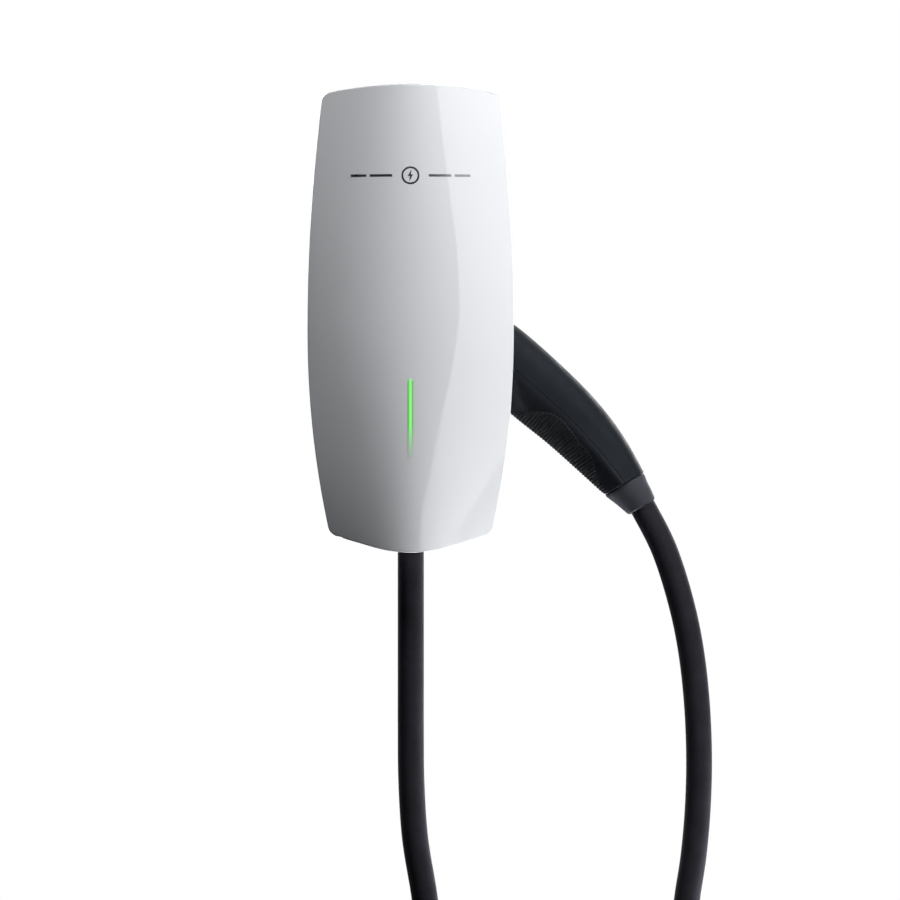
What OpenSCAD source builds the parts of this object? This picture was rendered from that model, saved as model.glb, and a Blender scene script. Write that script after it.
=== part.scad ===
// Wall-mounted EV charging unit with a docked, tethered connector and a hanging coil of cable.
// Millimetres. X to the right, Z up, the wall is the plane y = 0 and the front faces -Y.
// The origin is the centre of the four wall screws, on the wall.

/* [Faceplate] */
// Height of the faceplate between its two tips
plate_h = 345; // [330:1:370]
// Half of the faceplate's width at its widest
plate_half_w = 76.3; // [74:0.1:84]
// Height of the widest place, from the plate's middle
plate_wide_z = -10; // [-16:1:-4]
// Radius of the bowed side edges above the widest place
side_r_top = 1404; // [1200:1:1700]
// Radius of the bowed side edges below the widest place
side_r_low = 694; // [620:1:900]
// Radius of the crowned top edge
top_edge_r = 350; // [300:5:420]
// Slope of the two bottom edges, in degrees
tip_angle = 16; // [10:1:20]
// Distance from the wall to the crown of the glass
plate_front = 110; // [106:1:120]
// How far the rim lies behind the crown
plate_sag = 22; // [18:1:23]
// Thickness of the glass
glass_t = 3.2; // [2:0.1:4]
// Thickness of the carrier bonded behind the glass
carrier_t = 2; // [1.5:0.1:3]
// Distance from the glass's edge to the carrier's edge
carrier_inset = 5; // [3:0.5:8]

/* [Status light] */
// Width of the light window
light_w = 4.4; // [3:0.1:6]
// Top of the light window
light_top_z = -41; // [-60:1:-30]
// Length of the light window
light_len = 64; // [40:1:80]

/* [Housing] */
// Width of the electronics housing
housing_w = 104; // [98:1:116]
// Top of the housing
housing_top_z = 148; // [140:1:152]
// Bottom of the housing
housing_low_z = -140; // [-142:1:-130]
// Distance from the wall to the housing's front cover
housing_front = 80; // [78:0.5:82]
// Wall thickness of the moulded cases
wall = 3; // [2.2:0.1:3.4]
// Thickness of the front cover
cover_t = 2.5; // [2:0.1:3]

/* [Wall base] */
// Width of the wall base
base_w = 96; // [92:1:100]
// Height of the wall base
base_h = 236; // [226:1:250]
// Depth of the wall base
base_d = 34; // [30:1:35]
// Thickness of the gasket between wall base and housing
gasket_t = 2; // [1:0.1:3]
// Distance between the wall screws, across
screw_gap_x = 64; // [56:1:68]
// Distance between the wall screws, up
screw_gap_z = 196; // [180:1:200]
// Diameter of the wall screw holes
screw_hole_d = 5.5; // [5:0.1:6.5]
// Diameter of the rear supply entry
entry_d = 28; // [22:1:30]
// Height of the rear supply entry
entry_z = -72; // [-76:1:-66]

/* [Connector and dock] */
// Diameter of the connector's nose
nose_d = 30; // [26:0.5:31]
// Length of the nose in front of the handle
nose_len = 22; // [18:1:24]
// Height of the nose's axis
nose_z = -19; // [-21:1:-17]
// Gap round the nose in its dock
dock_gap = 0.5; // [0.3:0.1:1]
// Wall thickness of the handle's shells
shell_t = 2.6; // [2:0.1:3]
// Depth of the recess for the soft grip
grip_t = 1.2; // [0.8:0.1:1.6]
// Travel of the release button
button_travel = 1.5; // [1:0.1:2]
// Gap round the release button
button_gap = 0.35; // [0.3:0.05:0.5]

/* [Cable] */
// Diameter of the charging cable
cable_d = 19; // [17:0.5:19]
// Gap between the cable and the holes it passes
cable_gap = 0.2; // [0.1:0.05:0.5]
// Mean radius of the tied coil
coil_r = 97.5; // [90:0.5:105]
// Rows of cable across the coil's section
coil_layers = 2; // [1:1:3]
// Rows of cable along the coil's section
coil_rows = 4; // [2:1:4]

/* [Hidden] */
$fn = 48;
eps = 0.01;
// Distance of the nose, the gland and the cable from the wall
axis_y = -57;
half_h = plate_h / 2;
base_back = 4;
housing_back = base_d + gasket_t;
cavity_back = housing_back + wall;
cavity_front = housing_front - cover_t;
cavity_half_w = housing_w / 2 - wall;
face_x = housing_w / 2;
head_x = face_x + 4;
nose_r = nose_d / 2;
cup_t = 2.5;
cup_len = nose_len - 4 + 6;
cable_r = cable_d / 2;
gland_top_z = housing_low_z + wall + 8;
gland_low_z = housing_low_z - 8;
relief_low_z = -171;
// Centre of the handle's head, on the nose's axis
HEAD = [head_x, axis_y, nose_z];
// Sections of the handle from head to boot, measured from HEAD: upper edge x, z, lower edge x, z, half depth
HANDLE = [
    [0, 27, 0, -27, 20], [23, 12, 4, -37, 20.5], [52.6, -14.5, 19, -51.5, 20],
    [79, -41, 44.5, -72, 19], [100, -67.6, 65.5, -90.6, 17], [116.3, -95, 87.9, -111, 14.5]
];
// Route of the cable's end from inside the handle to the boot's mouth
END_ROUTE = [for (p = [[86, -82.5], [91, -89], [96.5, -96], [102.1, -103], [107.4, -109.4],
    [111.4, -114.2], [114.2, -118.6]]) HEAD + [p[0], 0, p[1]]];
// Routes of the two free stretches of cable, chosen by hand
ROUTE_LEFT = [
    [0, axis_y, relief_low_z], [0, axis_y, -215], [0, axis_y, -260], [0, axis_y, -300], [0.4, axis_y, -342],
    [3.2, axis_y, -385], [10, -56, -427], [14, -51, -465], [13, -43, -503], [6, -34, -545]
];
ROUTE_RIGHT = [
    HEAD + [115.1, 0, -120.2], [186, axis_y, -169], [197.5, axis_y, -204], [205.5, axis_y, -239],
    [210.4, axis_y, -278], [212.3, axis_y, -320], [211, axis_y, -360], [207.6, axis_y, -398],
    [202.5, axis_y, -432], [200.5, -54.5, -470], [203, -51, -508], [208.5, -48.5, -545]
];
COIL_CENTRE = [105, axis_y, -590];

// ---------------------------------------------------------------- helpers

function clamp(v, lo, hi) = min(max(v, lo), hi);
function unit(v) = v / norm(v);

// Point on a smooth curve through a list of values, at place s from 0 to len - 1
function along(list, s) =
    let (n = len(list) - 1, i = clamp(floor(s), 0, n - 1), u = s - i,
         a = list[max(i - 1, 0)], b = list[i], c = list[i + 1], d = list[min(i + 2, n)])
    0.5 * (2 * b + (c - a) * u + (2 * a - 5 * b + 4 * c - d) * u * u + (3 * b - a - 3 * c + d) * u * u * u);

// Closed skin through rings that have the same number of points
module loft(rings) {
    n = len(rings[0]);
    m = len(rings);
    points = [for (ring = rings) each ring];
    sides = [for (j = [0:m - 2], i = [0:n - 1])
        [j * n + i, j * n + (i + 1) % n, (j + 1) * n + (i + 1) % n, (j + 1) * n + i]];
    first = [[for (i = [n - 1:-1:0]) i]];
    last = [[for (i = [0:n - 1]) (m - 1) * n + i]];
    polyhedron(points, concat(sides, first, last), convexity = 6);
}

// Round tube swept along a route
module sweep(route, r, sides = 12) {
    last = len(route) - 1;
    loft([for (k = [0:last])
        let (t = unit(route[min(k + 1, last)] - route[max(k - 1, 0)]),
             side = unit(cross(t, [0, 1, 0])), up = cross(side, t))
        [for (i = [0:sides - 1]) let (a = 360 * i / sides) route[k] + r * (cos(a) * side + sin(a) * up)]]);
}

// Rounded block standing on a y plane and reaching towards the front
module slab(w, z_low, z_top, r, y_back, y_front) {
    translate([0, -y_back, 0]) rotate([90, 0, 0]) linear_extrude(y_front - y_back)
        round_rect(w, z_low, z_top, r);
}

module round_rect(w, z_low, z_top, r) {
    union() {
        translate([-w / 2 + r, z_low]) square([w - 2 * r, z_top - z_low]);
        translate([-w / 2, z_low + r]) square([w, z_top - z_low - 2 * r]);
        for (x = [-w / 2 + r, w / 2 - r], z = [z_low + r, z_top - r]) translate([x, z]) circle(r);
    }
}

// Round bar along Y between two distances from the wall
module peg(x, z, r, y_back, y_front) {
    translate([x, -y_back, z]) rotate([90, 0, 0]) cylinder(r = r, h = y_front - y_back);
}

// Round bar along X
module bar(x0, x1, y, z, r) {
    translate([x0, y, z]) rotate([0, 90, 0]) cylinder(r = r, h = x1 - x0);
}

// Round bar along Z
module post(x, y, z_low, z_top, r) {
    translate([x, y, z_low]) cylinder(r = r, h = z_top - z_low);
}

// Block given by its two corners, with y as distance from the wall
module block(x0, x1, y_back, y_front, z0, z1) {
    translate([x0, -y_front, z0]) cube([x1 - x0, y_front - y_back, z1 - z0]);
}

// Pan-head screw along Y, head towards the front
module screw_y(x, z, y_back, y_head, r = 1.9, head_r = 3.4, head_h = 2.2) {
    difference() {
        union() {
            peg(x, z, r, y_back, y_head);
            peg(x, z, head_r, y_head, y_head + head_h);
        }
        peg(x, z, 1.1, y_head + 0.8, y_head + head_h + 1);
    }
}

// ---------------------------------------------------------------- faceplate surface

// Half width of the plate's outline at a height
function half_width(z) =
    let (r = z > plate_wide_z ? side_r_top : side_r_low, d = z - plate_wide_z)
    plate_half_w - r + sqrt(r * r - d * d);

// Height of the top edge and of the bottom edge at a distance from the middle
function top_z(x) = half_h - top_edge_r + sqrt(top_edge_r * top_edge_r - x * x);
tip_r = 103;
tip_x = tip_r * sin(tip_angle);
function bottom_z(x) = let (a = abs(x))
    a < tip_x ? -half_h + tip_r - sqrt(tip_r * tip_r - a * a)
              : -half_h + tip_r - tip_r * cos(tip_angle) + (a - tip_x) * tan(tip_angle);

// Distance from the wall of the crown, and how softly the surface folds there
function crown(z) = plate_front - 6 * pow(max(z, 0) / half_h, 2) - 12 * pow(max(-z, 0) / half_h, 2);
// (small is a keel, large is an even bow), at nine heights from the bottom tip to the top
FOLD = [[0.42], [0.42], [0.5], [0.78], [1.2], [1.15], [0.82], [0.68], [0.6]];
function fold(z) = along(FOLD, (z / half_h + 1) * 4)[0];

// Distance from the wall of the plate's front at a share t of its half width
function plate_depth(t, z) =
    let (c = fold(z), f = (sqrt(t * t + c * c) - c) / (sqrt(1 + c * c) - c))
    crown(z) - plate_sag * f;

// Point of the plate at shares across (-1 to 1) and up (0 to 1), inset from the edge and pushed back
function plate_point(across, up, inset, back) =
    let (z_guess = -half_h + plate_h * up,
         x_guess = across * (half_width(clamp(z_guess, -155, 158)) - inset),
         z = bottom_z(x_guess) + inset + (top_z(x_guess) - bottom_z(x_guess) - 2 * inset) * up,
         half = half_width(z) - inset - corner_cut(z, inset),
         x = across * half)
    [x, -(plate_depth(clamp(x / half_width(z), -1, 1), z) - back), z];

// Rounding of the four corners
corner_r = 7;
function corner_cut(z, inset) =
    let (zt = top_z(plate_half_w - 10) - inset, zb = bottom_z(plate_half_w - 14) + inset,
         d = max(z - (zt - corner_r), (zb + corner_r) - z))
    d <= 0 ? 0 : corner_r - sqrt(max(corner_r * corner_r - d * d, 0));

// Curved sheet between two depths behind the plate's front
module plate_sheet(inset, back0, back1, nx = 24, nz = 36) {
    w = nx + 1;
    total = w * (nz + 1);
    skin = [for (back = [back0, back1], j = [0:nz], i = [0:nx])
        plate_point(2 * i / nx - 1, j / nz, inset, back)];
    front = [for (j = [0:nz - 1], i = [0:nx - 1]) let (a = j * w + i) each
        [[a, a + w, a + w + 1], [a, a + w + 1, a + 1]]];
    rear = [for (f = front) [f[0] + total, f[2] + total, f[1] + total]];
    edge = concat([for (i = [0:nx]) i], [for (j = [1:nz]) j * w + nx],
                  [for (i = [nx - 1:-1:0]) nz * w + i], [for (j = [nz - 1:-1:1]) j * w]);
    n = len(edge);
    rim = [for (k = [0:n - 1]) let (a = edge[k], b = edge[(k + 1) % n]) each
        [[a, b, b + total], [a, b + total, a + total]]];
    polyhedron(skin, concat(front, rear, rim), convexity = 8);
}

// ---------------------------------------------------------------- handle surface

// Ring of the handle at place s, drawn in by an offset; squarish oval section
function handle_ring(s, inward, count = 28) =
    let (h = along(HANDLE, s), arm = arm_at(h), reach = norm(edge_span(h)) / 2 - inward,
         depth = h[4] - inward)
    [for (i = [0:count - 1]) let (a = -360 * i / count, c = cos(a), n = sin(a))
        middle_at(h) + arm * reach * sign(n) * pow(abs(n), 0.85)
        + [0, depth * sign(c) * pow(abs(c), 0.85), 0]];
// Span between the two edges of a section, its direction, and its middle
function edge_span(h) = [h[0] - h[2], 0, h[1] - h[3]];
function arm_at(h) = unit(edge_span(h));
function middle_at(h) = HEAD + [h[0] + h[2], 0, h[1] + h[3]] / 2;
last_s = len(HANDLE) - 1;

module handle_body(inward, s0 = 0, s1 = last_s) {
    steps = 20;
    loft([for (k = [0:steps]) handle_ring(s0 + (s1 - s0) * k / steps, inward)]);
}

// Everything on one side of the handle's parting surface
module parting_side(upper) {
    dir = upper ? 1 : -1;
    out = [0, 30 * dir, 0];
    loft([for (k = [0:20]) let (h = along(HANDLE, last_s * k / 20), arm = arm_at(h) * dir * 45,
        base = middle_at(h) + [k == 0 ? -1 : k == 20 ? 1 : 0, 0, 0])
        [base - out, base + arm - out, base + arm + out, base + out]]);
}

// Wall of the handle, open towards the cable boot
module handle_wall() {
    difference() {
        handle_body(0);
        handle_body(shell_t, 0.13, last_s + 0.05);
        bar(head_x - 2, head_x + 8, axis_y, nose_z, nose_r + 0.05);
    }
}

// ---------------------------------------------------------------- wall base

module wall_base() {
    color("dimgray") difference() {
        union() {
            difference() {
                slab(base_w, -base_h / 2, base_h / 2, 14, 0, base_d);
                slab(base_w - 2 * wall, -base_h / 2 + wall, base_h / 2 - wall, 14 - wall,
                     base_back, base_d + 1);
            }
            for (x = [-1, 1], z = [-1, 1]) peg(x * boss_x, z * boss_z, boss_r, base_back - eps, base_d);
        }
        for (x = [-1, 1], z = [-1, 1]) {
            peg(x * screw_gap_x / 2, z * screw_gap_z / 2, screw_hole_d / 2, -1, base_back + 1);
            peg(x * boss_x, z * boss_z, screw_r, base_d - 16, base_d + 1);
        }
        peg(0, entry_z, entry_d / 2 + grommet_wall, -1, base_back + 1);
        post(0, -base_d / 2, -base_h / 2 - 1, -base_h / 2 + wall + 1, plug_r);
    }
}
boss_x = base_w / 2 - 11;
boss_z = base_h / 2 - 44;
boss_r = 5;
screw_r = 1.9;
grommet_wall = 2.5;
plug_r = 10;

module base_gasket() {
    color("black") difference() {
        slab(base_w, -base_h / 2, base_h / 2, 14, base_d, base_d + gasket_t);
        slab(base_w - 8, -base_h / 2 + 4, base_h / 2 - 4, 10, base_d - 1, base_d + gasket_t + 1);
    }
}

module entry_grommet() {
    lip = 2;
    color("black") difference() {
        union() {
            peg(0, entry_z, entry_d / 2 + grommet_wall, 0, base_back);
            peg(0, entry_z, entry_d / 2 + grommet_wall + 3, base_back, base_back + lip);
        }
        peg(0, entry_z, entry_d / 2, -1, base_back + lip + 1);
    }
}

module conduit_plug() {
    z = -base_h / 2;
    color("gray") union() {
        post(0, -base_d / 2, z, z + wall, plug_r);
        post(0, -base_d / 2, z + wall, z + wall + 3, plug_r + 3);
    }
}

block_z0 = 24;
block_z1 = 60;
block_front = 26;
module terminal_block() {
    color("ivory") difference() {
        block(-33, 33, base_back, block_front, block_z0, block_z1);
        for (x = [-22, 0, 22]) {
            peg(x, block_z0 + 10, 4, block_front - 12, block_front + 1);
            translate([x - 5, -block_front - 1, block_z1 - 16]) cube([10, 13, 11]);
        }
    }
}

module terminal_screws() {
    color("silver") for (x = [-22, 0, 22]) difference() {
        peg(x, block_z0 + 10, 4, block_front - 12, block_front - 4);
        translate([x - 3, -block_front + 2, block_z0 + 9.4]) cube([6, 3.2, 1.2]);
    }
}

module ground_bar() {
    color("goldenrod") difference() {
        block(-26, 26, base_back, base_back + 8, -36, -28);
        for (x = [-18:12:18]) peg(x, -32, 2, base_back + 4, base_back + 9);
    }
}

// ---------------------------------------------------------------- housing

housing_r = 20;
port_z0 = 28;
port_z1 = 56;
module main_housing() {
    color("dimgray") difference() {
        union() {
            difference() {
                slab(housing_w, housing_low_z, housing_top_z, housing_r, housing_back, cavity_front);
                slab(housing_w - 2 * wall, housing_low_z + wall, housing_top_z - wall, housing_r - wall,
                     cavity_back, housing_front + 1);
            }
            for (p = cover_bosses) peg(p[0], p[1], boss_r - 0.5, cavity_back - eps, cavity_front);
        }
        for (p = cover_bosses) peg(p[0], p[1], screw_r, cavity_front - 12, cavity_front + 1);
        for (x = [-1, 1], z = [-1, 1])
            peg(x * boss_x, z * boss_z, screw_r, housing_back - 1, cavity_back + 1);
        block(-30, 30, housing_back - 1, cavity_back + 1, port_z0, port_z1);
        bar(face_x - wall - 1, face_x + 1, axis_y, nose_z, cup_outer_r);
        post(0, axis_y, housing_low_z - 1, housing_low_z + wall + 1, gland_thread_r);
        seal_ring();
    }
}
cup_outer_r = nose_r + dock_gap + cup_t;
gland_thread_r = cable_r + 3;
cover_bosses = [for (x = [-1, 1]) each [[x * (cavity_half_w - 6), housing_top_z - 26],
    [x * (cavity_half_w - 6), 60], [x * (cavity_half_w - 6), housing_low_z + 34]]];

seal_w = 1.2;
module seal_ring() {
    difference() {
        slab(housing_w - 2, housing_low_z + 1, housing_top_z - 1, housing_r - 1,
             cavity_front - 1, cavity_front);
        slab(housing_w - 2 - 2 * seal_w, housing_low_z + 1 + seal_w, housing_top_z - 1 - seal_w,
             housing_r - 1 - seal_w, cavity_front - 2, cavity_front + 1);
    }
}
module housing_seal() { color("black") seal_ring(); }

module front_cover() {
    color("dimgray") difference() {
        slab(housing_w, housing_low_z, housing_top_z, housing_r, cavity_front, housing_front);
        for (p = cover_bosses) peg(p[0], p[1], screw_r + 0.2, cavity_front - 1, housing_front + 1);
        block(-pipe_w / 2 - 0.2, pipe_w / 2 + 0.2, cavity_front - 1, housing_front + 1,
              light_top_z - light_len - 1.2, light_top_z + 1.2);
        for (p = clip_places) peg(p[0], p[1], clip_r + 0.3, cavity_front - 1, housing_front + 1);
    }
}
pipe_w = 8;
clip_r = 3;
clip_gap = 0.2;
clip_places = [[-28, 118], [28, 118], [-28, -108], [28, -108]];

module cover_screws() {
    color("silver") for (p = cover_bosses) screw_y(p[0], p[1], cavity_front - 11, housing_front);
}

module housing_screws() {
    color("silver") for (x = [-1, 1], z = [-1, 1]) screw_y(x * boss_x, z * boss_z, base_d - 14, cavity_back);
}

module stab_contacts() {
    color("goldenrod") for (x = [-22, 0, 22])
        block(x - 4, x + 4, block_front - 9, cavity_back + 9, block_z1 - 12, block_z1 - 9);
}

board_y = cavity_back + 8;
board_t = 1.6;
board_low_z = -24;
board_top_z = 106;
board_step_z = nose_z + cup_outer_r + 3;
module power_board() {
    color("darkgreen") difference() {
        block(-34, 34, board_y, board_y + board_t, board_low_z, board_top_z);
        block(-28, 28, board_y - 1, board_y + board_t + 1, block_z1 - 14, block_z1 - 7);
        block(face_x - cup_len - 4, 35, board_y - 1, board_y + board_t + 1, board_low_z - 1, board_step_z);
    }
}

module contactor_relays() {
    color("black") for (x = [-30, 2]) block(x, x + 26, board_y + board_t, board_y + board_t + 20, 62, 92);
}

module current_sensor() {
    color("navy") difference() {
        peg(-12, 24, 13, board_y + board_t, board_y + board_t + 11);
        peg(-12, 24, 6, board_y + board_t - 1, board_y + board_t + 12);
    }
}

module power_supply() {
    color("gold") block(6, 32, board_y + board_t, board_y + board_t + 16, 14, 38);
}

standoff_r = 3;
standoffs = [[-29, 8], [29, 8], [-29, 100], [29, 100]];
low_standoffs = [[-29, -18], [12, -18]];
control_y = board_y + board_t + 22;
module board_standoffs() {
    color("silver") for (p = standoffs) {
        peg(p[0], p[1], standoff_r, cavity_back, board_y);
        peg(p[0], p[1], standoff_r, board_y + board_t, control_y);
    }
    color("silver") for (p = low_standoffs) peg(p[0], p[1], standoff_r, cavity_back, board_y);
}

module control_board() {
    color("green") block(-33, 33, control_y, control_y + board_t, board_step_z, board_top_z - 2);
}

module board_chips() {
    y = control_y + board_t;
    color("black") {
        block(-10, 4, y, y + 1.6, 30, 44);
        block(12, 26, y, y + 2.4, 60, 82);
        block(-28, -16, y, y + 1.6, 64, 74);
        block(-24, -10, y, y + 1.2, 12, 20);
    }
}

led_y = cavity_front - 5;
module led_board() {
    color("green") block(-5, 5, led_y - board_t, led_y, light_top_z - light_len, light_top_z);
}

// Rear of the lens where the crown is lowest, at the bottom of the window
lens_back = crown(light_top_z - light_len) - glass_t - carrier_t - 1;
module light_pipe() {
    color("white") block(-pipe_w / 2, pipe_w / 2, led_y, lens_back - 0.8,
                         light_top_z - light_len, light_top_z);
}

module dock_socket() {
    mouth = face_x + 2;
    color("black") difference() {
        union() {
            bar(face_x - cup_len, face_x, axis_y, nose_z, cup_outer_r);
            bar(face_x, mouth, axis_y, nose_z, cup_outer_r + 1.5);
        }
        bar(face_x - cup_len + cup_t, mouth + 1, axis_y, nose_z, nose_r + dock_gap);
    }
}

module dock_seal() {
    color("black") difference() {
        bar(face_x + 2, face_x + 3.2, axis_y, nose_z, cup_outer_r + 0.5);
        bar(face_x + 1, face_x + 5, axis_y, nose_z, nose_r + dock_gap);
    }
}

// ---------------------------------------------------------------- gland

module gland_body() {
    color("black") difference() {
        union() {
            post(0, axis_y, gland_low_z, housing_low_z, gland_thread_r + 4.5);
            post(0, axis_y, housing_low_z - eps, gland_top_z, gland_thread_r);
        }
        post(0, axis_y, gland_low_z - 1, gland_top_z + 1, cable_r + cable_gap);
    }
}

module gland_nut() {
    color("black") difference() {
        translate([0, axis_y, housing_low_z + wall]) cylinder(r = gland_thread_r + 4, h = 5, $fn = 6);
        post(0, axis_y, housing_low_z, gland_top_z + 5, gland_thread_r);
    }
}

module strain_relief() {
    color("black") translate([0, axis_y, 0]) rotate_extrude() polygon([
        [cable_r + cable_gap, gland_low_z], [gland_thread_r + 3, gland_low_z],
        [cable_r + 1.6, relief_low_z], [cable_r + cable_gap, relief_low_z]
    ]);
}

grip_z = gland_top_z + 3;
module cord_grip() {
    color("silver") difference() {
        union() {
            block(-16, 16, cavity_back, -axis_y + 13, grip_z, grip_z + 8);
        }
        post(0, axis_y, grip_z - 1, grip_z + 9, cable_r + cable_gap);
    }
}

tail_top_z = grip_z + 13;
module cable_tail() {
    color("black") post(0, axis_y, relief_low_z, tail_top_z, cable_r);
}

// Insulated cores from the cable's end up to the power board
module output_leads() {
    for (k = [-1:1]) let (x = 6 * k - 16) color(["black", "red", "green"][k + 1])
        sweep([[4 * k, axis_y, tail_top_z], [5 * k, axis_y + 1, tail_top_z + 16],
               [x, axis_y + 2, tail_top_z + 45], [x, lead_y - 2, board_low_z - 14],
               [x, lead_y, board_low_z], [x, lead_y, board_low_z + 8]], core_r, 8);
}
core_r = 1.9;
lead_y = -(board_y + board_t + core_r);

// ---------------------------------------------------------------- faceplate

module faceplate() {
    color("white") difference() {
        plate_sheet(0, 0, glass_t);
        light_slot(light_w + 0.4, 0.2);
    }
}

module light_slot(w, grow) {
    block(-w / 2, w / 2, 80, plate_front + 10, light_top_z - light_len - grow, light_top_z + grow);
}

module plate_carrier() {
    color("gray") difference() {
        union() {
            plate_sheet(carrier_inset, glass_t + bond_t, glass_t + carrier_t);
            difference() {
                slab(skirt_w, skirt_low_z, skirt_top_z, skirt_r, housing_front + skirt_gap, plate_front);
                slab(skirt_w - 2 * skirt_t, skirt_low_z + skirt_t, skirt_top_z - skirt_t, skirt_r - skirt_t,
                     housing_front, plate_front + 1);
                plate_backing();
            }
        }
        light_slot(pipe_w + 1, 1.5);
    }
}
// Bond line between glass and carrier
bond_t = 0.4;
// Wall of the carrier that closes the space in front of the housing
skirt_t = 2.4;
skirt_gap = 0.5;
skirt_w = housing_w;
skirt_low_z = housing_low_z;
skirt_top_z = housing_top_z;
skirt_r = housing_r;

module plate_clips() {
    color("gray") for (p = clip_places) difference() {
        peg(p[0], p[1], clip_r, cavity_front, plate_front);
        translate([0, carrier_t / 2 + clip_gap, 0]) plate_backing();
    }
}

// Solid in front of the middle of the carrier's wall
module plate_backing() {
    plate_sheet(1, -30, glass_t + carrier_t / 2, 12, 18);
}

module status_lens() {
    color("lime") intersection() {
        plate_sheet(0, 0.2, glass_t + carrier_t + 1);
        light_slot(light_w, 0);
    }
}

// ---------------------------------------------------------------- connector

module handle_upper_shell() {
    color("#22252a") difference() {
        intersection() {
            handle_wall();
            parting_side(true);
        }
        button_column(button_gap, spring_low_z - 0.5);
    }
}

module handle_lower_shell() {
    color("#1b1e23") difference() {
        intersection() {
            handle_wall();
            parting_side(false);
        }
        grip_pad(grip_t);
        for (p = shell_screw_places) bar_at(p, 1.9);
    }
}

// Soft ribbed pad sunk into the underside
module soft_grip() {
    color("#2a2c30") difference() {
        grip_pad(grip_t);
        for (p = shell_screw_places) bar_at(p, 2.6);
    }
}

module grip_pad(depth) {
    difference() {
        intersection() {
            handle_body(0);
            translate(HEAD + [0, 30, 0]) rotate([90, 0, 0]) linear_extrude(60) polygon([
                [14, -31], [28, -41], [40, -47], [54, -54.6], [62.6, -63.6], [72.8, -75.5],
                [77.7, -82], [85, -103], [80, -117], [4, -61]]);
        }
        handle_body(depth, -0.05, last_s + 0.05);
    }
}

module nose_shell() {
    color("black") difference() {
        bar(head_x - nose_len, head_x + 7, axis_y, nose_z, nose_r);
        bar(head_x - nose_len - 1, head_x + 8, axis_y, nose_z, nose_r - nose_wall);
    }
}

nose_wall = 2.2;
contact_rear_x = head_x + 7.5;
// Places of the contacts on the nose: y offset, z offset, radius
POWER = [[-5.6, 3, 3.6], [5.6, 3, 3.6]];
SIGNAL = [[0, -4.6, 2.4], [-6.6, -6, 1.4], [6.6, -6, 1.4]];
module contact_carrier() {
    color("gray") difference() {
        bar(head_x - nose_len + 2, head_x + 6, axis_y, nose_z, nose_r - nose_wall);
        for (c = concat(POWER, SIGNAL))
            bar(head_x - nose_len, head_x + 9, axis_y + c[0], nose_z + c[1], c[2]);
    }
}

module contact_set(places) {
    for (c = places) difference() {
        bar(head_x - nose_len + 3, contact_rear_x, axis_y + c[0], nose_z + c[1], c[2]);
        bar(head_x - nose_len + 2, head_x - 4, axis_y + c[0], nose_z + c[1], c[2] * 0.62);
    }
}
module power_contacts() { color("silver") contact_set(POWER); }
module signal_contacts() { color("gold") contact_set(SIGNAL); }

// Upright column that the release button slides in
button_x = head_x + 14;
button_len = 12;
button_w = 10;
module button_column(gap, low_z) {
    translate([button_x - button_len / 2 - gap, axis_y - button_w / 2 - gap, low_z])
        cube([button_len + 2 * gap, button_w + 2 * gap, 30]);
}

button_low_z = nose_z + 13.5;
module release_button() {
    color("black") intersection() {
        button_column(0, button_low_z);
        handle_body(-button_travel - 0.6);
    }
}

spring_r = 3;
spring_low_z = nose_z + 7.5;
module button_spring() {
    turns = 3;
    wire_r = 0.45;
    pitch = (button_low_z - spring_low_z - 2 * wire_r) / turns;
    color("silver") loft([for (k = [0:12 * turns])
        let (a = 30 * k, side = [cos(a), sin(a), 0], up = [0, 0, 1])
        [for (i = [0:7]) let (b = 45 * i)
            [button_x, axis_y, spring_low_z + wire_r + pitch * k / 12]
            + side * (spring_r + wire_r * cos(b)) + up * wire_r * sin(b)]]);
}

module switch_board() {
    color("green") translate([button_x - 5.8, axis_y - 7, spring_low_z - board_t]) cube([12, 14, board_t]);
}

// Screws that close the shells from below, measured from HEAD
shell_screw_places = [[10, -31], [88.6, -99.5]];
module bar_at(p, r) {
    translate(HEAD + [p[0], 0, p[1]]) rotate([0, 40, 0]) translate([0, 0, -24]) cylinder(r = r, h = 20);
}
module shell_screws() {
    color("silver") for (p = shell_screw_places) intersection() {
        bar_at(p, 1.9);
        handle_body(0.6);
    }
}

// Ring that grips the jacket inside the handle
module handle_clamp() {
    color("silver") translate(END_ROUTE[1]) rotate([0, 142, 0]) difference() {
        cylinder(r = cable_r + 2, h = 7);
        translate([0, 0, -1]) cylinder(r = cable_r + 0.1, h = 9);
    }
}

module handle_cable_end() { color("#252428") sweep(END_ROUTE, cable_r); }

// Cores from the contacts to the cable's end
module handle_leads() {
    for (k = [0:2]) color(["black", "red", "green"][k])
        sweep(concat([for (x = [0.6, 2.5]) [contact_rear_x + x, axis_y + 5.6 * (k - 1),
                                            nose_z + (k == 1 ? -4.6 : 3)]],
                     [for (p = [[26, -23], [38, -35], [62, -57], [76, -72], [85.6, -82]])
                         HEAD + [p[0], 5 * (k - 1), p[1]]]), core_r, 8);
}

module cable_boot() {
    color("#3a3c40") difference() {
        hull() {
            boot_disk([102.6, -103.7], 32, [15.8, 14.2], 1.2);
            boot_disk([110, -113.5], 31, [12.6, 12], 1);
            boot_disk([113.6, -117.5], 30, [10.6, 10.6], 1);
        }
        sweep(concat(END_ROUTE, [HEAD + [116.4, 0, -122.6]]), cable_r + cable_gap, 24);
    }
}
module boot_disk(p, tilt, half, t) {
    translate(HEAD + [p[0], 0, p[1]]) rotate([0, 180 - tilt, 0]) linear_extrude(t)
        scale(half) circle(1, $fn = 32);
}

// ---------------------------------------------------------------- free cable

module charge_cable_left() { color("#252428") sweep(ROUTE_LEFT, cable_r); }
module charge_cable_right() { color("#252428") sweep(ROUTE_RIGHT, cable_r); }

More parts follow.
